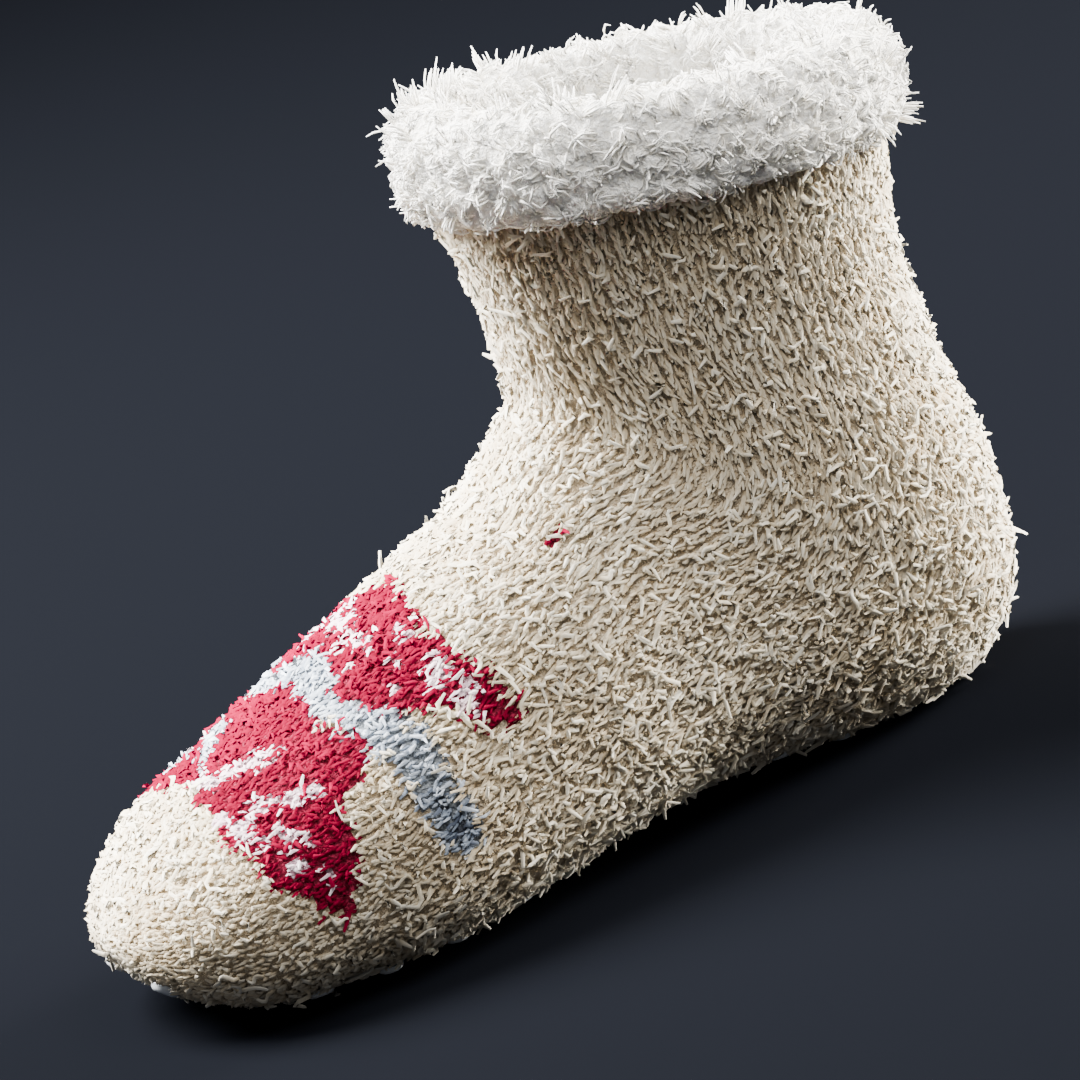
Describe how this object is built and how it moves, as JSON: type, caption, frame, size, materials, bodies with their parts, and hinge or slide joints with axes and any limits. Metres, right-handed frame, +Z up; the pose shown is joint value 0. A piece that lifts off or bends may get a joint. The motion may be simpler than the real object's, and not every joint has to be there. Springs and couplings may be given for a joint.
{
  "type": "slipper sock",
  "caption": "Fuzzy knitted slipper sock with a fleece cuff and a snow pattern over the instep, open at the top, standing on rubbery grip dots.",
  "frame": {"origin": "centre of the bounding box at the floor", "axes": "+X to the toe, +Y to the wearer's left, +Z up"},
  "size_m": [0.2514, 0.1097, 0.179],
  "materials": {
    "beige_knit": "brushed fuzzy knit, beige with red, pink and grey bands",
    "white_fleece": "clumped white fleece pile",
    "silicone": "milky satin"
  },
  "bodies": {
    "root": {"knit_upper": "beige_knit", "fleece_cuff": "white_fleece", "grip_dot_01": "silicone", "grip_dot_02": "silicone", "grip_dot_03": "silicone", "grip_dot_04": "silicone", "grip_dot_05": "silicone", "grip_dot_06": "silicone", "grip_dot_07": "silicone", "grip_dot_08": "silicone", "grip_dot_09": "silicone", "grip_dot_10": "silicone", "grip_dot_11": "silicone", "grip_dot_12": "silicone", "grip_dot_13": "silicone", "grip_dot_14": "silicone", "grip_dot_15": "silicone", "grip_dot_16": "silicone", "grip_dot_17": "silicone", "grip_dot_18": "silicone", "grip_dot_19": "silicone", "grip_dot_20": "silicone", "grip_dot_21": "silicone", "grip_dot_22": "silicone", "grip_dot_23": "silicone", "grip_dot_24": "silicone", "grip_dot_25": "silicone", "grip_dot_26": "silicone", "grip_dot_27": "silicone", "grip_dot_28": "silicone", "grip_dot_29": "silicone", "grip_dot_30": "silicone", "grip_dot_31": "silicone", "grip_dot_32": "silicone", "grip_dot_33": "silicone", "grip_dot_34": "silicone", "grip_dot_35": "silicone", "grip_dot_36": "silicone", "grip_dot_37": "silicone", "grip_dot_38": "silicone", "grip_dot_39": "silicone", "grip_dot_40": "silicone", "grip_dot_41": "silicone", "grip_dot_42": "silicone", "grip_dot_43": "silicone", "grip_dot_44": "silicone"}
  },
  "joints": []
}
